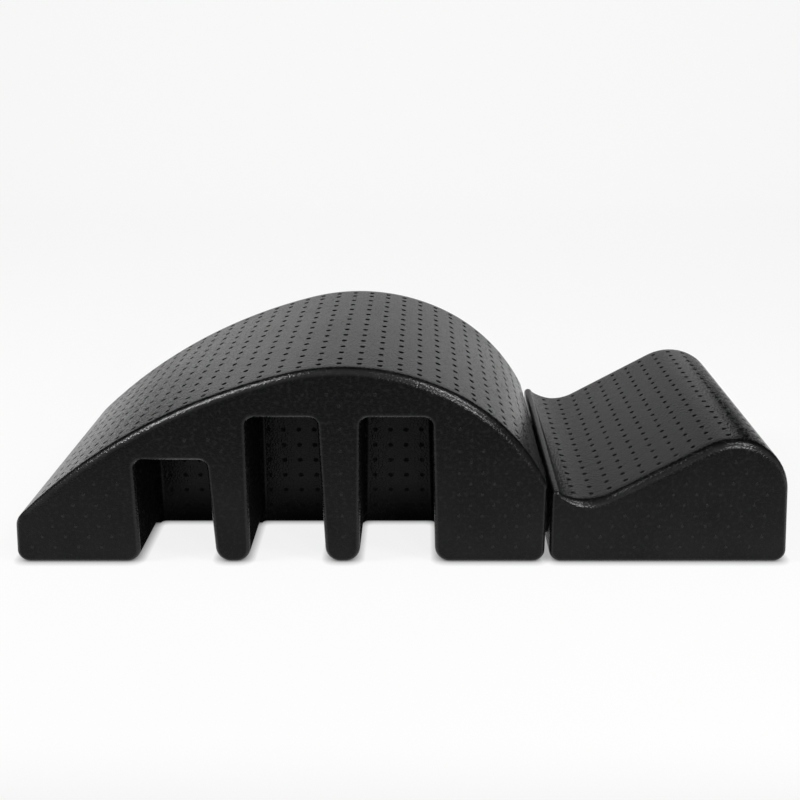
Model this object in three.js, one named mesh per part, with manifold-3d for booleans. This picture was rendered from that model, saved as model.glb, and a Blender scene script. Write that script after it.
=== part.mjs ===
// Pilates spine corrector: an arched block with three arm slots in each side, and a separate wedge block
// that butts against its steep end and is held there by hook-and-loop pads. Both blocks are mouldings of
// dense bead foam. Millimetres, +Z up. The origin is under the middle of the whole footprint: +X runs
// from the arch's low end to the wedge, and both blocks stand on Z = 0.

import * as THREE from 'three';
import * as BufferGeometryUtils from 'three/addons/utils/BufferGeometryUtils.js';
import Module from 'manifold-3d';

const wasm = await Module();
wasm.setup();

const deg = THREE.MathUtils.degToRad;

// Both blocks
const width = 381;
const edgeFillet = 9; // round along the edges of both side faces
const footRadius = 14; // round of the bottom corners, seen from the side
const endDraft = deg( 5.5 ); // lean of the two outer end faces

// Arched block, seen from the side: a long back, a crest and a steep shoulder, as arcs that run into each
// other over a flat foot
const archLength = 645;
const archHeight = 248;
const lowEndHeight = 56.5;
const highEndHeight = 101; // next to the wedge
const crestShare = 0.626; // of the length, from the low end's foot to the highest point
const crestRadius = 283;
const backTurn = deg( 14 ); // slope at which the crest passes into the back
const shoulderTurn = deg( 25 ); // slope at which it passes into the shoulder
const lowEndRadius = 22;
const highEndRadius = 12;

// Arm slots in the arched block: a low one, then two tall ones of one height
const slotWidth = 92.5; // at the floor, like the legs
const legWidth = 41.5;
const legFootRadius = 18; // round of the legs' bottom corners at the slots, seen from the side
const slotStartShare = 0.2337; // of the length, from the low end's foot to the first slot
const slotDraft = deg( 1.5 ); // lean of each wall, which makes the slots narrower at the top
const lowSlotRoof = 31.7; // from the low slot's ceiling to the arch's top over the slot's outer foot
const tallSlotRoof = 37.5;
const slotCornerRadius = 10;
const webThickness = 156; // the wall left between the slots of the two sides
const webFillet = 5;

// Wedge block, seen from the side: a lip, a shallow valley, a straight ramp and a round head
const wedgeLength = 289.5;
const headHeight = 159;
const headRadius = 68;
const valleyHeight = 81.5;
const valleyRadius = 45;
const lipRise = 12; // of the lip above the valley
const lipRadius = 9.5;

// Hook-and-loop pads between the blocks, two facing pairs
const padWidth = 110;
const padHeight = 45;
const padCornerRadius = 10;
const padInset = 35; // from the block's side face to the pad
const padFootGap = 20; // from the floor to the pad
const hookThickness = 2.2;
const loopThickness = 2.4;

// Clearance between pieces that touch
const contactGap = 0.3;

// Smoothness of the round stretches
const smallArcSteps = 6;
const longArcSteps = 14;
const filletSteps = 5;

// How far a leaning end face passes the widest point of its rounded foot, at floor level
const footLean = footRadius * ( ( 1 + Math.sin( endDraft ) ) / Math.cos( endDraft ) - 1 );

const blockGap = hookThickness + loopThickness + 3 * contactGap;
const overallLength = archLength + blockGap + wedgeLength;

const foamMaterial = new THREE.MeshStandardMaterial( { color: 0x17181a, roughness: 0.55, metalness: 0 } );
const hookMaterial = new THREE.MeshStandardMaterial( { color: 0x0f0f10, roughness: 0.8, metalness: 0 } );
const loopMaterial = new THREE.MeshStandardMaterial( { color: 0x131314, roughness: 0.95, metalness: 0 } );

// The vector of a length at an angle, which is taken from straight up and is positive towards +X
function polar( angle, length ) {

	return new THREE.Vector2( Math.sin( angle ), Math.cos( angle ) ).multiplyScalar( length );

}

// Points of a circular arc
function arc( centre, radius, from, to, steps ) {

	return Array.from( { length: steps + 1 }, ( _, step ) =>
		polar( from + ( to - from ) * step / steps, radius ).add( centre ) );

}

// A corner of an outline that is rounded to a radius
function corner( x, z, radius ) {

	const point = new THREE.Vector2( x, z );
	point.radius = radius;
	return point;

}

// Replaces each corner that has a radius by the arc that touches both its sides
function roundCorners( points ) {

	return points.flatMap( ( point, i ) => {

		if ( ! point.radius ) return [ point ];

		const before = points[ ( i + points.length - 1 ) % points.length ].clone().sub( point ).normalize();
		const after = points[ ( i + 1 ) % points.length ].clone().sub( point ).normalize();
		const halfAngle = Math.acos( THREE.MathUtils.clamp( before.dot( after ), - 1, 1 ) ) / 2;
		const middle = before.clone().add( after ).normalize();
		const centre = point.clone().addScaledVector( middle, point.radius / Math.sin( halfAngle ) );
		const start = point.clone().addScaledVector( before, point.radius / Math.tan( halfAngle ) ).sub( centre );
		const turn = Math.sign( before.cross( after ) ) * ( Math.PI - 2 * halfAngle );
		const origin = new THREE.Vector2();

		return Array.from( { length: smallArcSteps + 1 }, ( _, step ) =>
			start.clone().rotateAround( origin, - turn * step / smallArcSteps ).add( centre ) );

	} );

}

// Extrudes an outline drawn in X and Z across the block, centred on Y = 0, with both rims rounded
function extrudeAcross( outline, thickness, fillet ) {

	const geometry = new THREE.ExtrudeGeometry( new THREE.Shape( outline ), {
		depth: thickness - 2 * fillet,
		bevelEnabled: true,
		bevelThickness: fillet,
		bevelSize: fillet,
		bevelOffset: - fillet,
		bevelSegments: filletSteps,
	} );
	geometry.translate( 0, 0, fillet - thickness / 2 );
	geometry.rotateX( Math.PI / 2 );
	return geometry;

}

function toSolid( geometry ) {

	const plain = geometry.clone();
	plain.deleteAttribute( 'normal' );
	plain.deleteAttribute( 'uv' );
	const merged = BufferGeometryUtils.mergeVertices( plain );
	return new wasm.Manifold( new wasm.Mesh( {
		numProp: 3,
		vertProperties: new Float32Array( merged.attributes.position.array ),
		triVerts: new Uint32Array( merged.index.array ),
	} ) );

}

function toGeometry( solid ) {

	const mesh = solid.getMesh();
	const geometry = new THREE.BufferGeometry();
	geometry.setAttribute( 'position', new THREE.BufferAttribute( mesh.vertProperties, 3 ) );
	geometry.setIndex( new THREE.BufferAttribute( mesh.triVerts, 1 ) );
	geometry.computeVertexNormals();
	return geometry;

}

// Arched block

// The arc that leaves a point at a slope, which is positive where it falls towards +X, and ends at another.
// An arc turns from its chord as much at the one end as at the other.
function arcFrom( start, slope, end, steps ) {

	const chord = end.clone().sub( start );
	const side = Math.sign( chord.x );
	const endSlope = side * 2 * Math.atan2( - chord.y, Math.abs( chord.x ) ) - slope;
	const radius = chord.length() / ( 2 * Math.abs( Math.sin( ( endSlope - slope ) / 2 ) ) );
	return arc( start.clone().sub( polar( slope, radius ) ), radius, slope, endSlope, steps );

}

// The top of the arch from the low end to the high end
function archTop() {

	const crest = new THREE.Vector2( crestShare * archLength, archHeight - crestRadius );
	const lowEnd = new THREE.Vector2( lowEndHeight * Math.tan( endDraft ) - footLean, lowEndHeight );
	const highEnd = new THREE.Vector2( archLength, highEndHeight );

	const middle = arc( crest, crestRadius, - backTurn, shoulderTurn, longArcSteps );
	const back = arcFrom( middle[ 0 ], - backTurn, lowEnd, longArcSteps ).reverse();
	const shoulder = arcFrom( middle[ longArcSteps ], shoulderTurn, highEnd, longArcSteps );
	return [ ...back, ...middle.slice( 1 ), ...shoulder.slice( 1 ) ];

}

const archTopPoints = archTop();

// The height of the arch's top above a place along its length
function archTopZ( x ) {

	const next = archTopPoints.findIndex( ( point ) => point.x > x );
	const from = archTopPoints[ next - 1 ];
	const to = archTopPoints[ next ];
	return THREE.MathUtils.mapLinear( x, from.x, to.x, from.y, to.y );

}

// The three slots from the low end on, each as its two walls at the floor and its height
function slotRow() {

	const [ first, second, third ] = [ 0, 1, 2 ].map( ( i ) => {

		const left = slotStartShare * archLength + i * ( slotWidth + legWidth );
		return { left, right: left + slotWidth };

	} );
	const lowHeight = Math.min( archTopZ( first.left ), archTopZ( first.right ) ) - lowSlotRoof;
	const tallHeight = Math.min( archTopZ( second.left ), archTopZ( third.right ) ) - tallSlotRoof;
	return [
		{ ...first, height: lowHeight },
		{ ...second, height: tallHeight },
		{ ...third, height: tallHeight },
	];

}

// The side view of the arch, with the given stretch of underside between its two feet
function archOutline( underside ) {

	const lowEnd = archTopPoints[ 0 ];
	const highEnd = archTopPoints[ archTopPoints.length - 1 ];

	return roundCorners( [
		corner( lowEnd.x, lowEnd.y, lowEndRadius ),
		...archTopPoints.slice( 1, - 1 ),
		corner( highEnd.x, highEnd.y, highEndRadius ),
		corner( archLength, 0, footRadius ),
		...underside,
		corner( - footLean, 0, footRadius ),
	] );

}

// The full-width comb of legs, joined by a web that closes every slot half way through the block
function archGeometry() {

	const slotEdges = slotRow().reverse().flatMap( ( { left, right, height } ) => {

		const lean = height * Math.tan( slotDraft );
		return [
			corner( right, 0, legFootRadius ),
			corner( right - lean, height, slotCornerRadius ),
			corner( left + lean, height, slotCornerRadius ),
			corner( left, 0, legFootRadius ),
		];

	} );
	const comb = toSolid( extrudeAcross( archOutline( slotEdges ), width, edgeFillet ) );
	const web = toSolid( extrudeAcross( archOutline( [] ), webThickness, webFillet ) );
	return toGeometry( comb.add( web ) );

}

// Wedge block

function wedgeOutline() {

	// The head's arc touches the leaning end face
	const headZ = headHeight - headRadius;
	const headInset = ( headRadius + headZ * Math.sin( endDraft ) ) / Math.cos( endDraft );
	const head = new THREE.Vector2( wedgeLength + footLean - headInset, headZ );

	// The lip's arc touches the face that meets the arched block, and the valley's arc touches the lip's
	const lip = new THREE.Vector2( lipRadius, valleyHeight + lipRise - lipRadius );
	const valleyZ = valleyHeight + valleyRadius;
	const lipAngle = Math.acos( ( valleyZ - lip.y ) / ( valleyRadius + lipRadius ) );
	const valley = polar( lipAngle, valleyRadius + lipRadius ).add( lip );

	// The ramp is the line that touches the valley's arc from below and the head's from above
	const across = head.clone().sub( valley );
	const turn = Math.asin( ( valleyRadius + headRadius ) / across.length() );
	const rampAngle = turn + Math.atan2( across.y, across.x );

	return roundCorners( [
		...arc( lip, lipRadius, - Math.PI / 2, lipAngle, smallArcSteps ),
		...arc( valley, valleyRadius, Math.PI + lipAngle, Math.PI - rampAngle, longArcSteps ).slice( 1 ),
		...arc( head, headRadius, - rampAngle, Math.PI / 2 - endDraft, longArcSteps ),
		corner( wedgeLength + footLean, 0, footRadius ),
		corner( 0, 0, footRadius ),
	] );

}

// Hook-and-loop pads: flat patches on the faces that meet, standing on X = 0 and facing +X
function padGeometry( thickness ) {

	const outline = roundCorners( [
		corner( - padWidth / 2, - padHeight / 2, padCornerRadius ),
		corner( - padWidth / 2, padHeight / 2, padCornerRadius ),
		corner( padWidth / 2, padHeight / 2, padCornerRadius ),
		corner( padWidth / 2, - padHeight / 2, padCornerRadius ),
	] );
	const shape = new THREE.Shape( outline );
	const geometry = new THREE.ExtrudeGeometry( shape, { depth: thickness, bevelEnabled: false } );
	geometry.rotateX( Math.PI / 2 );
	geometry.rotateZ( Math.PI / 2 );
	return geometry;

}

// Assembly

const group = new THREE.Group();

function addMesh( name, geometry, material, x, y, z ) {

	const mesh = new THREE.Mesh( geometry, material );
	mesh.name = name;
	mesh.position.set( x, y, z );
	group.add( mesh );

}

const archX = - overallLength / 2;
const padY = width / 2 - padInset - padWidth / 2;
const padZ = padFootGap + padHeight / 2;
const archFaceX = archX + archLength;
const wedgeX = archFaceX + blockGap;
const hookX = archFaceX + contactGap;
const loopX = hookX + hookThickness + contactGap;

addMesh( 'arch_block', archGeometry(), foamMaterial, archX, 0, 0 );
addMesh( 'wedge_block', extrudeAcross( wedgeOutline(), width, edgeFillet ), foamMaterial, wedgeX, 0, 0 );

for ( const [ side, y ] of [ [ 'front', - padY ], [ 'rear', padY ] ] ) {

	addMesh( `hook_pad_${ side }`, padGeometry( hookThickness ), hookMaterial, hookX, y, padZ );
	addMesh( `loop_pad_${ side }`, padGeometry( loopThickness ), loopMaterial, loopX, y, padZ );

}

export default group;
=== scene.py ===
import math

import bmesh
import bpy
import numpy as np
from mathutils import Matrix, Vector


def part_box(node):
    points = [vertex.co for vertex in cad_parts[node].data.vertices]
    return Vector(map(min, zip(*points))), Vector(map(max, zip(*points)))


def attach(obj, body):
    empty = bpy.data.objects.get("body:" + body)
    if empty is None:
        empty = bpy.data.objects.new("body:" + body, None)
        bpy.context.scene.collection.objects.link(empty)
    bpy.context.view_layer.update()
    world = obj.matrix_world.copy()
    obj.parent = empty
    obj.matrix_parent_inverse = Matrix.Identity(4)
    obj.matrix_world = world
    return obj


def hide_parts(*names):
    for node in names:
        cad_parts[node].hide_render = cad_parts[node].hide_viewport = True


# Pilates spine corrector: an arch block and a wedge block, both steam-moulded from black bead foam, held
# together by hook-and-loop pads. All shapes are worked out in millimetres, in the frame of the solids, and
# become metres where a mesh is made.

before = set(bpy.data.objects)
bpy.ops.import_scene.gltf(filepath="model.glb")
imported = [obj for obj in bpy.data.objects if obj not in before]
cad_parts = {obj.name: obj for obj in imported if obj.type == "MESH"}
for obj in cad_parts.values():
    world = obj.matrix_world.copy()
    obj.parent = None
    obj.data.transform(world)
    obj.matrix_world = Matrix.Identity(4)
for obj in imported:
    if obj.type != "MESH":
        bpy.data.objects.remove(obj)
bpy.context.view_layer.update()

MM = 0.001
rad = math.radians

# Both blocks
WIDTH = 381
TOP_EDGE = 11.5  # round between the top and the side faces
EDGE = 7  # round between the side faces and all other faces
FOOT = 14  # round of the bottom corners, seen from the side
DRAFT = rad(5.5)  # lean of the two outer end faces
FOOT_LEAN = FOOT * ((1 + math.sin(DRAFT)) / math.cos(DRAFT) - 1)

# Arch block
ARCH_X = -470
ARCH_LENGTH = 645
ARCH_HEIGHT = 248
LOW_END = 56.5  # where the top would meet the low end face without a round
HIGH_END = 101  # and the high one
CREST_X = 0.626 * ARCH_LENGTH
CREST_RADIUS = 283
BACK_TURN = rad(14)  # slope where the crest's arc meets the long back's
SHOULDER_TURN = rad(25)  # and the shoulder's
LOW_ROUND = 22
HIGH_ROUND = 12
SLOTS = [(150.74, 134.05), (284.74, 187.5), (418.74, 187.5)]  # left wall at the floor, and height
SLOT_WIDTH = 92.5  # at the floor
SLOT_ROUND = 10
SLOT_DRAFT = rad(1.5)  # lean of each slot wall
LEG_FOOT = 18  # round of the legs' bottom corners at the slots, seen from the side
WEB = 156  # the wall left between the slots of the two sides
WEB_FOOT = 5  # round of its bottom edges
COVE = 6  # hollow round between that wall and the slot's walls
WEB_COLLAR = 0.5  # flat strip next to the hollow round
WEB_REACH = SLOT_ROUND + LEG_FOOT + 2  # how far the wall is carried into the slot's walls

# Wedge block
WEDGE_X = 180.5
WEDGE_LENGTH = 289.5
HEAD_HEIGHT = 159
HEAD_RADIUS = 68
VALLEY_HEIGHT = 81.5
VALLEY_X = 42
VALLEY_RADIUS = 60
LIP_HEIGHT = 94.3
LIP_RADIUS = 5.6
LIP_HOLLOW = 3  # between the lip's bead and the valley
LIP_EDGE = 4.2  # round between the lip and the side faces

# The round of the side edges along each top: its size at the start, the lengths between which it grows to
# TOP_EDGE, and the length before the end over which it shrinks to EDGE.
ARCH_RIM = (EDGE, 6, 40, 40)
WEDGE_RIM = (LIP_EDGE, 16, 45, 60)

# Stations and lines
FINE = rad(0.2)  # turn from station to station along the tops
SUMMIT_STEPS = 4000  # in the search for a top's highest line
START_STEP = 1.2  # between the lines before a top's first pits
END_STEP = 6  # and after its last ones
LAND = 1  # strip that keeps a side face's shading flat next to its edge

# Steam vents leave a lattice of small pits in the moulded skin. Columns run across the block, rows along it.
ARCH_COLUMN = -5.0  # from the crest, along the top
ARCH_COLUMN_PITCH = 23.74
ARCH_ROW_PITCH = 25
ARCH_ROWS = 15
ARCH_OUTER_ROWS = 0.96  # draws the outermost rows in, clear of the edges
ARCH_PIT_DEPTH = 0.9  # share of the depths below
WEDGE_COLUMN = -4.8  # from the head's highest line
WEDGE_COLUMN_PITCH = 22.17
WEDGE_ROW_PITCH = 19.8
WEDGE_ROWS = 18
WEDGE_PIT_DEPTH = 0.5
WEB_COLUMNS = 4
WEB_PITCH = 19.4
WEB_SHIFTS = [0, -3.5, -0.5]  # of the columns, from the middle of each slot
WEB_FIRST_ROW = 26
WEB_ROW_PITCH = 21
WEB_PIT_DEPTH = 0.35
START_ROOM = 0.4  # least room for a column after the start of a top, as a share of the pitch
END_ROOM = 0.3  # the same before its end
RIM_ROOM = 0.35  # and after the line where the side edges' round begins to grow
PIT = [(4.6, 0.0), (3.9, 0.0), (3.2, 0.3), (2.5, 0.9), (1.7, 1.6), (0.8, 1.9)]  # rings: radius and depth

# Smaller vents leave marks on the side faces, in a staggered lattice. They stand proud of the face.
MARK_STEP = 14  # half their spacing
MARK_START = 13  # of the lattice, from the lowest and the leftmost edge
MARK_MARGIN = 12  # around each mark, to any edge
MARK = [(2.6, 0.4), (2.4, -0.1), (1.7, -0.28), (0.8, -0.3)]  # rings: radius and depth

# Hook-and-loop pads
PAD_CORNER = 10
PAD_STRIP = 0.9  # thickness of the backing
PAD_BEVEL = 0.2
PAD_MARGIN = 2  # bare edge around the field of strands
PAD_START = 3  # of the field, from the pad's edges
PAD_SEED = 8
STRAND = 0.3
STRAND_PITCH = 2.6  # the real one is nearer 1.5 mm, too fine to show
HOOK = [(0, -0.2), (0, 0.8), (0.2, 1.05), (0.5, 1.1), (0.7, 0.85)]  # path, across and up
LOOP = [(-0.6, -0.2), (-0.75, 0.8), (-0.35, 1.3), (0.35, 1.3), (0.75, 0.8), (0.6, -0.2)]
HOOK_SPREAD = rad(12)  # each strand is turned at random by up to this
LOOP_SPREAD = rad(90)

# Camera, fitted to the photograph
PICTURE = 800  # pixels
FOCAL = 1056.1  # pixels
AXIS = (422.8, 440)  # the pixel that it points at
PITCH = rad(21.8)  # downwards
EYE = (25.9, -1335.4, 619.3)


def add_object(name, data):
    made = bpy.data.objects.new(name, data)
    bpy.context.scene.collection.objects.link(made)
    return made


camera_data = bpy.data.cameras.new("studio_camera")
camera_data.lens = FOCAL * camera_data.sensor_width / PICTURE
camera_data.shift_x = (PICTURE / 2 - AXIS[0]) / PICTURE
camera_data.shift_y = (AXIS[1] - PICTURE / 2) / PICTURE
camera = add_object("studio_camera", camera_data)
camera.location = [c * MM for c in EYE]
camera.rotation_euler = (rad(90) - PITCH, 0, 0)
bpy.context.scene.camera = camera


# Side views: stations of x, z and the outward normal. Angles are taken from straight up, towards +X.

def facing(angle):
    """The unit vectors in x and z that face an angle."""
    return np.stack([np.sin(angle), np.cos(angle)], -1)


def round_off(centre, radius, start, end, step=rad(9)):
    """Stations of a round stretch, whose normal turns from one angle to the other. A hollow one has a
    negative radius."""
    steps = max(1, math.ceil(abs(end - start) / step - 1e-6))
    normal = facing(np.linspace(start, end, steps + 1))
    return np.hstack([np.asarray(centre) + radius * normal, normal])


def corner(x, z, radius, start, end):
    """A corner between two flat faces of the given angles, rounded off."""
    a, b = facing(start), facing(end)
    return round_off(np.array([x, z]) - radius * (a + b) / (1 + a @ b), radius, start, end)


def corner_on_arc(centre, arc_radius, x, angle, radius):
    """Where a big arc ends at a steep face that passes the floor line at x: the centre of the round that
    touches both, and the angle at which it touches the arc."""
    out = facing(angle)
    up = np.array([-out[1], out[0]]) * math.copysign(1, out[0])
    foot = np.array([x, 0.0]) - radius * out
    b = (foot - centre) @ up
    rise = -b + math.sqrt(b * b - (foot - centre) @ (foot - centre) + (arc_radius - radius) ** 2)
    middle = foot + rise * up
    return middle, math.atan2(*(middle - centre))


def arc_to(start, slope, end):
    """Centre and radius of the arc that leaves a point at a slope and ends at another."""
    chord = end - start
    side = math.copysign(1, chord[0])
    end_slope = side * 2 * math.atan2(-chord[1], abs(chord[0])) - slope
    radius = math.hypot(*chord) / (2 * abs(math.sin((end_slope - slope) / 2)))
    return start - radius * facing(slope), radius


def arch_side():
    """The arch block's top, finely, and the rest of its outline from the high end round to the low end."""
    crest = np.array([CREST_X, ARCH_HEIGHT - CREST_RADIUS])
    low = np.array([LOW_END * math.tan(DRAFT) - FOOT_LEAN, LOW_END])
    back, back_radius = arc_to(crest + CREST_RADIUS * facing(-BACK_TURN), -BACK_TURN, low)
    shoulder, shoulder_radius = arc_to(crest + CREST_RADIUS * facing(SHOULDER_TURN), SHOULDER_TURN,
                                       np.array([ARCH_LENGTH, HIGH_END]))
    low_face = DRAFT - rad(90)
    low_round, low_turn = corner_on_arc(back, back_radius, -FOOT_LEAN, low_face, LOW_ROUND)
    high_round, high_turn = corner_on_arc(shoulder, shoulder_radius, ARCH_LENGTH, rad(90), HIGH_ROUND)
    top = np.vstack([
        round_off(back, back_radius, low_turn, -BACK_TURN, FINE),
        round_off(crest, CREST_RADIUS, -BACK_TURN, SHOULDER_TURN, FINE)[1:],
        round_off(shoulder, shoulder_radius, SHOULDER_TURN, high_turn, FINE)[1:],
    ])
    rest = [round_off(high_round, HIGH_ROUND, high_turn, rad(90)),
            corner(ARCH_LENGTH, 0, FOOT, rad(90), rad(180))]
    for left, height in reversed(SLOTS):
        right, lean = left + SLOT_WIDTH, height * math.tan(SLOT_DRAFT)
        rest += [
            corner(right, 0, LEG_FOOT, rad(180), rad(270) - SLOT_DRAFT),
            corner(right - lean, height, -SLOT_ROUND, rad(270) - SLOT_DRAFT, rad(180)),
            corner(left + lean, height, -SLOT_ROUND, rad(180), rad(90) + SLOT_DRAFT),
            corner(left, 0, LEG_FOOT, rad(90) + SLOT_DRAFT, rad(180)),
        ]
    rest += [corner(-FOOT_LEAN, 0, FOOT, rad(180), rad(360) + low_face),
             round_off(low_round, LOW_ROUND, low_face, low_turn)]
    return top, np.vstack(rest)


def wedge_side():
    """The wedge block's top, finely, and the rest of its outline from the tall end round to the lip."""
    lip = np.array([LIP_RADIUS, LIP_HEIGHT - LIP_RADIUS])
    valley = np.array([VALLEY_X, VALLEY_HEIGHT + VALLEY_RADIUS])
    near, far = LIP_RADIUS + LIP_HOLLOW, VALLEY_RADIUS - LIP_HOLLOW
    apart = math.hypot(*(valley - lip))
    lip_turn = (math.atan2(*(valley - lip))
                + math.acos((near ** 2 + apart ** 2 - far ** 2) / (2 * near * apart)))
    hollow = lip + near * facing(lip_turn)
    valley_turn = math.atan2(*(valley - hollow))
    head_z = HEAD_HEIGHT - HEAD_RADIUS
    inset = (HEAD_RADIUS + head_z * math.sin(DRAFT)) / math.cos(DRAFT)
    head = np.array([WEDGE_LENGTH + FOOT_LEAN - inset, head_z])
    across = head - valley
    slope = math.asin((VALLEY_RADIUS + HEAD_RADIUS) / math.hypot(*across)) + math.atan2(across[1], across[0])
    end_face = rad(90) - DRAFT
    top = np.vstack([
        round_off(lip, LIP_RADIUS, rad(-90), lip_turn, 10 * FINE),
        round_off(hollow, -LIP_HOLLOW, lip_turn, valley_turn, 10 * FINE)[1:],
        round_off(valley, -VALLEY_RADIUS, valley_turn, -slope, FINE)[1:],
        round_off(head, HEAD_RADIUS, -slope, end_face, FINE),
    ])
    rest = np.vstack([
        corner(WEDGE_LENGTH + FOOT_LEAN, 0, FOOT, end_face, rad(180)),
        corner(0, 0, FOOT, rad(180), rad(270)),
    ])
    return top, rest


# Mouldings: closed shells made of sheets of quads that share their edges

def course(stations):
    """The length of a fine chain of stations, and a function that gives the stations at given lengths."""
    along = np.concatenate([[0], np.cumsum(np.hypot(*np.diff(stations[:, :2], axis=0).T))])

    def at(places):
        return np.stack([np.interp(places, along, column) for column in stations.T], -1)

    return along[-1], at


def cells(edges):
    """Lines over a row of cells, three to a cell."""
    thirds = [a + (b - a) * k / 3 for a, b in zip(edges, edges[1:]) for k in range(3)]
    return np.array([*thirds, edges[-1]])


def between(low, middles, high):
    """The edges of the cells around a row of pits."""
    return [low, *(middles[1:] + middles[:-1]) / 2, high]


def held(chain, reach=1.5):
    """What lies between the two ends of a chain, with stations close to both ends of each flat stretch, so
    that its shading stays flat."""
    out = []
    for a, b in zip(chain, chain[1:]):
        gap = math.hypot(*(b - a)[:2])
        out.append(a)
        if gap > 4 * reach:
            out += [a + (b - a) * reach / gap, b - (b - a) * reach / gap]
    return np.array(out[1:])


def ramp(value, low, high):
    """A smooth step from 0 at low to 1 at high."""
    share = min(max((value - low) / (high - low), 0), 1)
    return share * share * (3 - 2 * share)


def painted_slot_shade(x, y, z, normal):
    """Painted shade in the slots: how far the skin at a place is made dull, its gloss cut and its roughness
    raised, on the slots' walls and ceilings, and on the wall between them in its pits and towards its foot."""
    at_slots = [z < height + 1 and abs(x - ARCH_X - left - SLOT_WIDTH / 2) < SLOT_WIDTH / 2 + LEG_FOOT
                for left, height in SLOTS]
    if abs(y) > WIDTH / 2 - EDGE or not any(at_slots):
        return 0
    return max(ramp(math.hypot(normal[0], normal[2]), 0.2, 0.5), 0.85 * ramp(-z, -70, 10),
               0.55 * ramp(WEB / 2 - abs(y), 0, 0.5))


def painted_edge_highlight(x, y, z, normal):
    """Painted highlight: how much coat gloss the skin at a place gets, so that the lamps draw a bright line
    along the edges: most half way round the upper edges of the side faces, lower down on the wedge, and a
    little on the vent marks, the other edges and where the arch is steep."""
    depth, lean = WIDTH / 2 - abs(y), abs(normal[1])
    if depth > TOP_EDGE or normal[2] < -0.97:
        return 0
    if depth < -0.1:
        return 0.22
    if x < WEDGE_X:
        level = normal[2] / max(math.hypot(normal[0], normal[2]), 0.01)
        start, share = 0.38, ramp(level, 0.74, 0.84)
    else:
        start, share = 0.6, ramp(normal[2], 0.05, 0.35)
    band = ramp(lean, start, start + 0.24) * (1 - ramp(lean, 0.9, 0.99)) * (depth > 0.25)
    return (0.25 + 0.75 * share) * band


class Moulding:
    """Points in millimetres and faces, gathered sheet by sheet and welded at the end."""

    def __init__(self):
        self.points, self.faces = [], []

    def add(self, points):
        first = len(self.points)
        self.points += np.reshape(points, (-1, 3)).tolist()
        return first

    def sheet(self, points, skip=()):
        """Quads over a grid of points, but for the squares to skip."""
        rows, columns = points.shape[:2]
        first = self.add(points)
        for i in range(rows - 1):
            for j in range(columns - 1):
                if (i, j) not in skip:
                    a = first + i * columns + j
                    self.faces.append((a, a + 1, a + columns + 1, a + columns))

    def cap(self, points):
        first = self.add(points)
        self.faces.append(range(first, first + len(points)))

    def closed(self, rings):
        """A sheet over rings, capped at both ends."""
        self.sheet(np.array(rings))
        self.cap(rings[0][:-1])
        self.cap(rings[-1][:-1])

    def pitted(self, place, u, v, pits_u, pits_v, depth_share):
        """A sheet over the lines u and v, three to a cell, with a pit in each cell that has a middle both
        ways. place turns u, v and a depth into points."""
        grid = place(*np.meshgrid(u, v, indexing="ij"), 0)
        # A cell's edge has twelve points and so has each ring of its pit, from the same corner on
        turn = np.radians(30 * np.arange(13) - 135)
        skip = set()
        for i, middle_u in zip(range(0, len(u), 3), pits_u):
            for j, middle_v in zip(range(0, len(v), 3), pits_v):
                if middle_u is None or middle_v is None:
                    continue
                skip.update((i + k, j + m) for k in range(3) for m in range(3))
                rim = [(i + k, j) for k in range(3)] + [(i + 3, j + k) for k in range(3)]
                rim += [(i + 3 - k, j + 3) for k in range(3)] + [(i, j + 3 - k) for k in range(4)]
                rings = [[grid[k] for k in rim]]
                for radius, depth in PIT:
                    rings.append(place(middle_u + radius * np.cos(turn),
                                       middle_v + radius * np.sin(turn), depth * depth_share))
                self.sheet(np.array(rings))
                self.cap(rings[-1][:-1])
        self.sheet(grid, skip)

    def make(self, name, finish):
        """Welds the sheets into a piece of one material."""
        mesh = bpy.data.meshes.new(name)
        mesh.from_pydata([[c * MM for c in p] for p in self.points], [], self.faces)
        shape = bmesh.new()
        shape.from_mesh(mesh)
        bmesh.ops.remove_doubles(shape, verts=shape.verts, dist=0.01 * MM)
        bmesh.ops.delete(shape, geom=[v for v in shape.verts if not v.link_faces], context="VERTS")
        bmesh.ops.recalc_face_normals(shape, faces=shape.faces)
        # Vertex attributes: painted shade in the slots and a painted highlight band along the edges
        for skin in (painted_slot_shade, painted_edge_highlight):
            layer = shape.verts.layers.float.new(skin.__name__)
            for v in shape.verts:
                v[layer] = skin(*(v.co / MM), v.normal)
        for face in shape.faces:
            face.smooth = True
        shape.to_mesh(mesh)
        shape.free()
        mesh.materials.append(finish)
        return add_object(name, mesh)


def inside(x, z, ring, clear):
    """Whether a point lies within a ring of points, with a clear distance from it."""
    a, b = ring, np.roll(ring, -1, 0)
    edge = b - a
    beyond = x < a[:, 0] + (z - a[:, 1]) * edge[:, 0] / np.where(edge[:, 1] == 0, 1, edge[:, 1])
    crossed = ((a[:, 1] > z) != (b[:, 1] > z)) & beyond
    share = np.clip((([x, z] - a) * edge).sum(1) / np.maximum((edge ** 2).sum(1), 1e-9), 0, 1)
    nearest = np.hypot(*(a + share[:, None] * edge - [x, z]).T).min()
    return crossed.sum() % 2 == 1 and nearest > clear


def vent_marks(moulding, side, flat):
    """The lattice of vent marks on a side face, whose flat part lies within a ring."""
    low, high = flat.min(0), flat.max(0)
    turn = np.radians(45 * np.arange(9))
    for i, z in enumerate(np.arange(low[1] + MARK_START, high[1], MARK_STEP)):
        for x in np.arange(low[0] + MARK_START + MARK_STEP * (i % 2), high[0], 2 * MARK_STEP):
            if inside(x, z, flat, MARK_MARGIN):
                moulding.closed([[(x + r * math.cos(t), side * (WIDTH / 2 - depth), z + r * math.sin(t))
                                  for t in turn] for r, depth in MARK])


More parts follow.
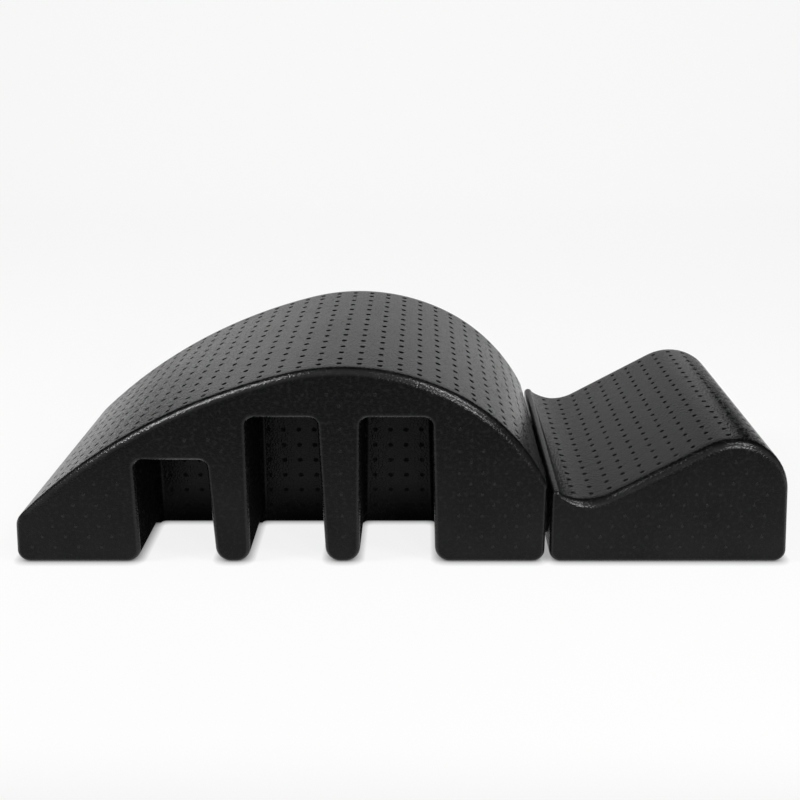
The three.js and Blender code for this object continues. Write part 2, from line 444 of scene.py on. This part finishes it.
def block(moulding, origin, top, rest, column, pitch, rows, depth_share, rim):
    """A block drawn from the side and carried across its width, with pits over its top, rounded side edges
    and flat side faces. column is where one column of pits lies from the highest line of the top."""
    length, at = course(top)
    fine = np.linspace(0, length, SUMMIT_STEPS)
    summit = fine[np.argmax(at(fine)[:, 1])]
    room = START_ROOM * pitch
    columns = np.arange((summit + column - room) % pitch + room, length - END_ROOM * pitch, pitch)
    first_edge, grow, full, shrink = rim
    columns = columns[columns > grow + RIM_ROOM * pitch]
    u = cells(between(max(columns[0] - pitch / 2, 0), columns, min(columns[-1] + pitch / 2, length)))
    v = cells(between(TOP_EDGE - WIDTH / 2, rows, WIDTH / 2 - TOP_EDGE))

    def place(u, v, depth):
        x, z, out_x, out_z = np.moveaxis(at(u), -1, 0)
        return np.stack([origin + x - depth * out_x, v, z - depth * out_z], -1)

    moulding.pitted(place, u, v, columns, rows, depth_share)
    before, after = np.arange(0, u[0], START_STEP), np.arange(length, u[-1], -END_STEP)[::-1]
    along = np.concatenate([before, u, after])
    edges = np.interp(along, [0, grow, full, length - shrink, length],
                      [first_edge, first_edge, TOP_EDGE, TOP_EDGE, EDGE])
    skin = np.column_stack([at(along), edges])
    rest = np.column_stack([rest, np.full(len(rest), EDGE)])
    outline = np.vstack([skin, held(np.vstack([skin[-1:], rest, skin[:1]])), skin[:1]])
    carried = [[(origin + x, y, z) for y in v] for x, z, *_ in outline]
    first = len(before)
    moulding.sheet(np.array(carried), {(first + i, j) for i in range(len(u) - 1) for j in range(len(v) - 1)})
    turn = np.radians(np.linspace(0, 90, 7))
    arc = [(0, TOP_EDGE, 0), *((1 - math.cos(t), 0, 1 - math.sin(t)) for t in turn)]
    for side in (-1, 1):
        rings = []
        for drop, inset, share in arc:
            rings.append([(origin + x - drop * edge * out_x, side * (WIDTH / 2 - inset - share * edge),
                           z - drop * edge * out_z) for x, z, out_x, out_z, edge in outline])
        rings.append([(origin + x - (edge + LAND) * out_x, side * WIDTH / 2, z - (edge + LAND) * out_z)
                      for x, z, out_x, out_z, edge in outline])
        moulding.sheet(np.array(rings))
        moulding.cap(rings[-1][:-1])
        vent_marks(moulding, side, np.array(rings[-1][:-1])[:, ::2])


def slot_web(moulding, left, height, shift):
    """The wall that closes a slot half way through the block: pitted on both sides, hollow-rounded into the
    slot's walls and carried a little way into them."""
    lean = math.tan(SLOT_DRAFT)
    middle, half = ARCH_X + left + SLOT_WIDTH / 2, SLOT_WIDTH / 2 - height * lean
    flat = half - COVE - WEB_COLLAR
    columns = middle + shift + WEB_PITCH * (np.arange(WEB_COLUMNS) - (WEB_COLUMNS - 1) / 2)
    x = cells(between(middle - flat, columns, middle + flat))
    low, high = WEB_FOOT, height - COVE - WEB_COLLAR
    rows = np.arange(WEB_FIRST_ROW, high - WEB_ROW_PITCH / 3, WEB_ROW_PITCH)
    half_row = WEB_ROW_PITCH / 2
    z = cells([low, *between(rows[0] - half_row, rows, rows[-1] + half_row), high])
    pits_z = [None, *rows, None]

    def widen(points):
        points = np.array(points, float)
        points[..., 0] = middle + (points[..., 0] - middle) * (1 + (height - points[..., 2]) * lean / half)
        return points

    sides = []
    for side in (-1, 1):

        def place(u, v, depth):
            return widen(np.stack([u, np.full(np.shape(u), side * (WEB / 2 - depth)), v], -1))

        moulding.pitted(place, x, z, columns, pits_z, WEB_PIT_DEPTH)
        walls = [(middle - flat, k, rad(-90)) for k in z[:-1]]
        walls += [(middle - flat, high, k) for k in rad(90) * np.linspace(-1, 0, 7)]
        walls += [(k, high, 0) for k in x[1:-1]]
        walls += [(middle + flat, high, k) for k in rad(90) * np.linspace(0, 1, 7)]
        walls += [(middle + flat, k, rad(90)) for k in z[-2::-1]]
        turn = np.radians(np.linspace(0, 90, 6))
        steps = [(0, 0), *((WEB_COLLAR + COVE * math.sin(t), COVE * (1 - math.cos(t))) for t in turn)]
        steps += [(WEB_REACH, COVE)]
        rings = np.array([[(a + wide * math.sin(t), side * (WEB / 2 + out), b + wide * math.cos(t))
                           for a, b, t in walls] for wide, out in steps])
        moulding.sheet(widen(rings))
        foot = np.vstack([rings[::-1, 0], [(k, side * WEB / 2, low) for k in x[1:-1]], rings[:, -1]])
        under = [foot - [0, side * WEB_FOOT * (1 - math.cos(t)), WEB_FOOT * math.sin(t)] for t in turn]
        moulding.sheet(widen(under))
        sides.append((widen(rings[-1]), widen(under)))
    (front, front_foot), (rear, rear_foot) = sides
    moulding.sheet(np.array([front, rear]))
    moulding.sheet(np.array([front_foot[-1], rear_foot[-1]]))
    for end in (0, -1):
        moulding.cap(np.vstack([front_foot[:, end], rear_foot[::-1, end]]))


# Hook-and-loop pads

def pad_edge(low, high, x, inset):
    """The rounded outline of a pad, drawn in by an inset."""
    middle, half = (low + high) / 2, (high - low) / 2 - inset
    points = []
    for quarter, (side_y, side_z) in enumerate(((1, 1), (-1, 1), (-1, -1), (1, -1))):
        for t in np.radians(90 * quarter + np.linspace(0, 90, 9)):
            points.append((x, middle[1] + side_y * (half[1] - PAD_CORNER) + PAD_CORNER * math.cos(t),
                           middle[2] + side_z * (half[2] - PAD_CORNER) + PAD_CORNER * math.sin(t)))
    return points + points[:1]


def strand(path, radius, sides=4):
    """A thin tube round a path of lengths across and up: rings of points of across, aside and up."""
    path = np.array(path, float)
    along = np.gradient(path, axis=0)
    along /= np.linalg.norm(along, axis=1)[:, None]
    turn = np.radians(360 / sides * np.arange(sides + 1))
    return np.stack([path[:, :1] - radius * np.cos(turn) * along[:, 1:],
                     np.tile(radius * np.sin(turn), (len(path), 1)),
                     path[:, 1:] + radius * np.cos(turn) * along[:, :1]], -1)


def pad(solid, body, finish, out, path, spread):
    """A pad in the place of its solid: a backing strip, with a field of strands that stand out from it along
    X. Each strand is turned at random by up to the spread."""
    low, high = (np.array(end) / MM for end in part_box(solid))
    back = low[0] if out > 0 else high[0]
    moulding = Moulding()
    steps = ((0, 0), (PAD_STRIP - PAD_BEVEL, 0), (PAD_STRIP, PAD_BEVEL), (PAD_STRIP, PAD_MARGIN))
    moulding.closed([pad_edge(low, high, back + out * rise, inset) for rise, inset in steps])
    field = np.array(pad_edge(low, high, 0, PAD_MARGIN))[:, 1:]
    across, aside, up = np.moveaxis(strand(path, STRAND / 2), -1, 0)
    luck = np.random.default_rng(PAD_SEED)
    for i, y in enumerate(np.arange(low[1] + PAD_START, high[1] - PAD_MARGIN, STRAND_PITCH)):
        shift = STRAND_PITCH / 2 * (i % 2)
        for z in np.arange(low[2] + PAD_START + shift, high[2] - PAD_MARGIN, STRAND_PITCH):
            if inside(y, z, field, 0):
                t = spread * luck.uniform(-1, 1)
                moulding.sheet(np.stack([back + out * (PAD_STRIP + up),
                                         y + across * math.cos(t) - aside * math.sin(t),
                                         z + across * math.sin(t) + aside * math.cos(t)], -1))
    piece = moulding.make(f"{solid}_strip", finish)
    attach(piece, body)
    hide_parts(solid)


# Materials

def linear(colour):
    """A sRGB hex colour as linear red, green, blue and alpha."""
    parts = [int(colour[k:k + 2], 16) / 255 for k in (1, 3, 5)]
    return (*[p / 12.92 if p <= 0.04045 else ((p + 0.055) / 1.055) ** 2.4 for p in parts], 1)


def node(tree, kind, inputs=None, **settings):
    """Adds a node. inputs are its sockets' values, or the sockets that they are linked to."""
    made = tree.nodes.new(kind)
    for key, value in settings.items():
        setattr(made, key, value)
    for key, value in (inputs or {}).items():
        if isinstance(value, bpy.types.NodeSocket):
            tree.links.new(value, made.inputs[key])
        else:
            made.inputs[key].default_value = value
    return made


def new_material(name):
    made = bpy.data.materials.new(name)
    made.use_nodes = True
    made.node_tree.nodes.clear()
    return made, made.node_tree


def per_metre(size_mm):
    """The scale of a pattern whose cells have a size in millimetres."""
    return 1 / (size_mm * MM)


def bead_foam():
    """Expanded polypropylene, steam-moulded: black beads fused into cells about 4 mm across, with soft
    creases between them and a slightly waxy skin. It gives the eye a soft sheen, a faint pebble and bright
    thin edges. Painted shade dulls the skin deep in the slots, extra coat gloss paints a highlight along
    the side edges, and painted floor light greys the skin towards the floor."""
    made, tree = new_material("moulded_bead_foam")
    place = node(tree, "ShaderNodeTexCoord").outputs["Object"]
    # Painted shade in the slots and the painted edge highlight, from the vertex attributes
    dull = node(tree, "ShaderNodeAttribute", attribute_name="painted_slot_shade").outputs["Fac"]
    shiny = node(tree, "ShaderNodeAttribute", attribute_name="painted_edge_highlight").outputs["Fac"]
    bead = {"Vector": place, "Scale": per_metre(4)}
    crease = node(tree, "ShaderNodeTexVoronoi", bead, feature="DISTANCE_TO_EDGE").outputs["Distance"]
    crease = node(tree, "ShaderNodeMapRange", {"Value": crease, "From Min": 0.0, "From Max": 0.3},
                  interpolation_type="SMOOTHSTEP").outputs["Result"]
    tone = node(tree, "ShaderNodeTexNoise",
                {"Vector": place, "Scale": per_metre(5), "Detail": 2.0}).outputs["Fac"]
    skin = node(tree, "ShaderNodeTexNoise",
                {"Vector": place, "Scale": per_metre(1.2), "Detail": 3.0}).outputs["Fac"]
    haze = node(tree, "ShaderNodeTexNoise",
                {"Vector": place, "Scale": per_metre(60), "Detail": 2.0}).outputs["Fac"]
    tone = node(tree, "ShaderNodeMapRange", {"Value": tone, "From Min": 0.45, "From Max": 0.75},
                interpolation_type="SMOOTHSTEP").outputs["Result"]
    colour = node(tree, "ShaderNodeMix", {"Factor": tone, "A": linear("#070708"), "B": linear("#18181a")},
                  data_type="RGBA").outputs["Result"]
    # Painted light: the outer skin is greyed a little towards the floor, in patches and not in the slots, as
    # if by the floor's light
    height = node(tree, "ShaderNodeSeparateXYZ", {"Vector": place}).outputs["Z"]
    painted_floor_light = node(tree, "ShaderNodeMapRange",
                {"Value": height, "From Min": 160 * MM, "From Max": 20 * MM}).outputs["Result"]
    painted_floor_light = node(tree, "ShaderNodeMath", {0: painted_floor_light, 1: haze}, operation="MULTIPLY").outputs["Value"]
    outer = node(tree, "ShaderNodeMath", {0: 1.0, 1: dull}, operation="SUBTRACT").outputs["Value"]
    painted_floor_light = node(tree, "ShaderNodeMath", {0: painted_floor_light, 1: outer}, operation="MULTIPLY").outputs["Value"]
    colour = node(tree, "ShaderNodeMix", {"Factor": painted_floor_light, "A": colour, "B": linear("#1e1e1e")},
                  data_type="RGBA").outputs["Result"]
    rough = node(tree, "ShaderNodeMapRange",
                 {"Value": haze, "To Min": 0.2, "To Max": 0.26}).outputs["Result"]
    # Painted shade: the skin in the slots turns fully rough
    rough = node(tree, "ShaderNodeMix", {"Factor": dull, "A": rough, "B": 1.0}).outputs["Result"]
    relief = node(tree, "ShaderNodeMath", {0: skin, 1: 0.15, 2: crease},
                  operation="MULTIPLY_ADD").outputs["Value"]
    bump = node(tree, "ShaderNodeBump",
                {"Height": relief, "Strength": 0.6, "Distance": 0.24 * MM}).outputs["Normal"]
    # Painted shade: the skin in the slots loses most of its gloss
    gloss = node(tree, "ShaderNodeMapRange",
                 {"Value": dull, "To Min": 0.5, "To Max": 0.05}).outputs["Result"]
    # The coat layer carries the painted edge highlight
    # The skin is full of fine pores, so its IOR is well below the solid plastic's 1.49
    shader = node(tree, "ShaderNodeBsdfPrincipled",
                  {"Base Color": colour, "Roughness": rough, "IOR": 1.21, "Specular IOR Level": gloss,
                   "Normal": bump, "Coat Weight": shiny, "Coat Roughness": 0.24, "Coat Normal": bump})
    node(tree, "ShaderNodeOutputMaterial", {"Surface": shader.outputs["BSDF"]})
    return made


def nylon_hooks():
    """Black nylon, moulded as a strip with fine stiff hooks. It gives the eye a hard, faintly ribbed
    sheen."""
    made, tree = new_material("moulded_nylon_hooks")
    place = node(tree, "ShaderNodeTexCoord").outputs["Object"]
    # Ten millimetres hold about three bands of a wave texture, so the ribs are 3 mm apart
    rib = node(tree, "ShaderNodeTexWave", {"Vector": place, "Scale": per_metre(10), "Distortion": 0.6},
               bands_direction="Z").outputs["Fac"]
    fleck = node(tree, "ShaderNodeTexNoise",
                 {"Vector": place, "Scale": per_metre(4), "Detail": 3.0}).outputs["Fac"]
    colour = node(tree, "ShaderNodeMix", {"Factor": fleck, "A": linear("#0b0b0c"), "B": linear("#1c1c1e")},
                  data_type="RGBA").outputs["Result"]
    rough = node(tree, "ShaderNodeMapRange",
                 {"Value": rib, "To Min": 0.38, "To Max": 0.52}).outputs["Result"]
    bump = node(tree, "ShaderNodeBump",
                {"Height": rib, "Strength": 0.4, "Distance": 0.1 * MM}).outputs["Normal"]
    shader = node(tree, "ShaderNodeBsdfPrincipled",
                  {"Base Color": colour, "Roughness": rough, "IOR": 1.53, "Normal": bump})
    node(tree, "ShaderNodeOutputMaterial", {"Surface": shader.outputs["BSDF"]})
    return made


def nylon_loops():
    """Black nylon yarn, knitted and brushed up into loops: it gives the eye a dull, slightly fuzzy pile."""
    made, tree = new_material("brushed_nylon_loops")
    place = node(tree, "ShaderNodeTexCoord").outputs["Object"]
    yarn = node(tree, "ShaderNodeTexNoise",
                {"Vector": place, "Scale": per_metre(1), "Detail": 4.0}).outputs["Fac"]
    tuft = node(tree, "ShaderNodeTexVoronoi", {"Vector": place, "Scale": per_metre(3)}).outputs["Distance"]
    colour = node(tree, "ShaderNodeMix", {"Factor": yarn, "A": linear("#0e0e10"), "B": linear("#222225")},
                  data_type="RGBA").outputs["Result"]
    rough = node(tree, "ShaderNodeMapRange",
                 {"Value": tuft, "To Min": 0.75, "To Max": 0.95}).outputs["Result"]
    bump = node(tree, "ShaderNodeBump",
                {"Height": yarn, "Strength": 0.6, "Distance": 0.2 * MM}).outputs["Normal"]
    shader = node(tree, "ShaderNodeBsdfPrincipled",
                  {"Base Color": colour, "Roughness": rough, "IOR": 1.53, "Sheen Weight": 0.3,
                   "Sheen Roughness": 0.5, "Normal": bump})
    node(tree, "ShaderNodeOutputMaterial", {"Surface": shader.outputs["BSDF"]})
    return made


foam = bead_foam()

arch_top, arch_rest = arch_side()
arch = Moulding()
arch_rows = ARCH_ROW_PITCH * (np.arange(ARCH_ROWS) - (ARCH_ROWS - 1) / 2)
arch_rows[[0, -1]] *= ARCH_OUTER_ROWS
block(arch, ARCH_X, arch_top, arch_rest, ARCH_COLUMN, ARCH_COLUMN_PITCH, arch_rows, ARCH_PIT_DEPTH, ARCH_RIM)
for (slot_left, slot_height), shift in zip(SLOTS, WEB_SHIFTS):
    slot_web(arch, slot_left, slot_height, shift)

wedge_top, wedge_rest = wedge_side()
wedge = Moulding()
wedge_rows = WEDGE_ROW_PITCH * (np.arange(WEDGE_ROWS) - (WEDGE_ROWS - 1) / 2)
block(wedge, WEDGE_X, wedge_top, wedge_rest, WEDGE_COLUMN, WEDGE_COLUMN_PITCH, wedge_rows, WEDGE_PIT_DEPTH,
      WEDGE_RIM)

for body, moulding, solid in (("arch", arch, "arch_block"), ("wedge", wedge, "wedge_block")):
    piece = moulding.make(f"{body}_moulding", foam)
    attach(piece, body)
    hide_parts(solid)

hooks, loops = nylon_hooks(), nylon_loops()
for side in ("front", "rear"):
    pad(f"hook_pad_{side}", "arch", hooks, 1, HOOK, HOOK_SPREAD)
    pad(f"loop_pad_{side}", "wedge", loops, -1, LOOP, LOOP_SPREAD)


# Stage and light

def floor_paper():
    """Matt white studio paper that glows white to the camera and in reflections, with a painted falloff
    towards the front and painted shade in narrow gaps. Its diffuse part still takes the object's shadow."""
    made, tree = new_material("matt_studio_paper")
    rays = node(tree, "ShaderNodeLightPath").outputs
    seen = node(tree, "ShaderNodeMath", {0: rays["Is Camera Ray"], 1: rays["Is Glossy Ray"]},
                operation="MAXIMUM").outputs["Value"]
    seen = node(tree, "ShaderNodeMath", {0: seen, 1: rays["Is Transmission Ray"]},
                operation="MAXIMUM").outputs["Value"]
    place = node(tree, "ShaderNodeTexCoord").outputs["Object"]
    along = node(tree, "ShaderNodeSeparateXYZ", {"Vector": place}).outputs["Y"]
    grain = node(tree, "ShaderNodeTexNoise", {"Vector": place, "Scale": per_metre(3)}).outputs["Fac"]
    colour = node(tree, "ShaderNodeMix", {"Factor": grain, "A": linear("#f6f6f6"), "B": linear("#fbfbfb")},
                  data_type="RGBA").outputs["Result"]
    # Painted falloff: the glow dims towards the front
    painted_falloff = node(tree, "ShaderNodeMapRange",
                {"Value": along, "From Min": -0.88, "From Max": -0.52, "To Min": 0.6},
                interpolation_type="SMOOTHSTEP").outputs["Result"]
    paper = node(tree, "ShaderNodeBsdfDiffuse", {"Color": colour}).outputs["BSDF"]
    # Painted shade: ambient occlusion darkens the glow in narrow gaps and close to the object's foot
    near = node(tree, "ShaderNodeAmbientOcclusion", {"Distance": 12 * MM}).outputs["AO"]
    glow = node(tree, "ShaderNodeMath", {0: painted_falloff, 1: near}, operation="MULTIPLY").outputs["Value"]
    paper_glow = node(tree, "ShaderNodeEmission", {"Strength": glow}).outputs["Emission"]
    share = node(tree, "ShaderNodeMath", {0: seen, 1: 0.85}, operation="MULTIPLY").outputs["Value"]
    both = node(tree, "ShaderNodeMixShader", {0: share, 1: paper, 2: paper_glow}).outputs["Shader"]
    node(tree, "ShaderNodeOutputMaterial", {"Surface": both})
    return made


def sweep(name, left, right, near, far, height, bend):
    """A roll of paper that lies on the floor and rises in one bend behind the object."""
    turn = np.radians(np.linspace(0, 90, 25))
    rise = [(far - bend + bend * math.sin(t), bend - bend * math.cos(t)) for t in turn]
    side = [(near, 0), *rise, (far, height)]
    mesh = bpy.data.meshes.new(name)
    mesh.from_pydata([(x, y, z) for y, z in side for x in (left, right)], [],
                     [(k, k + 1, k + 3, k + 2) for k in range(0, 2 * len(side) - 2, 2)])
    for face in mesh.polygons:
        face.use_smooth = True
    mesh.materials.append(floor_paper())
    paper = add_object(name, mesh)


sweep("studio_sweep", -1.56, 1.44, -3.0, 2.8, 2.1, 0.5)

world = bpy.data.worlds.new("studio_air")
world.use_nodes = True
bpy.context.scene.world = world
world.node_tree.nodes.clear()
# A pale room that turns dark behind the object, beyond the paper's edges
outward = node(world.node_tree, "ShaderNodeTexCoord").outputs["Generated"]
behind = node(world.node_tree, "ShaderNodeSeparateXYZ", {"Vector": outward}).outputs["Y"]
strength = node(world.node_tree, "ShaderNodeMapRange",
                {"Value": behind, "From Min": 0.0, "From Max": 0.6, "To Min": 0.35, "To Max": 0.02},
                interpolation_type="SMOOTHSTEP").outputs["Result"]
air = node(world.node_tree, "ShaderNodeBackground", {"Color": linear("#ffffff"), "Strength": strength})
node(world.node_tree, "ShaderNodeOutputWorld", {"Surface": air.outputs["Background"]})


def lamp(name, place, aim, size, power):
    """A rectangular softbox. place, aim and size are in metres, and power in watts."""
    data = bpy.data.lights.new(name, "AREA")
    data.shape = "RECTANGLE"
    data.size, data.size_y = size
    data.energy = power
    made = add_object(name, data)
    made.location = place
    direction = np.array(place) - np.array(aim)
    made.rotation_euler = (math.acos(direction[2] / np.linalg.norm(direction)), 0,
                           math.atan2(direction[1], direction[0]) + rad(90))


lamp("left_softbox", (-1.68, -0.45, 1.93), (-0.2, -0.19, 0.2), (0.5, 1.3), 28)
lamp("right_softbox", (1.3, -0.78, 1.93), (0.05, -0.19, 0.2), (0.45, 0.8), 16)
lamp("low_softbox", (1.0, -1.8, 0.8), (0.3, -0.19, 0.12), (0.6, 0.35), 12)

bpy.context.scene.view_settings.view_transform = "Standard"
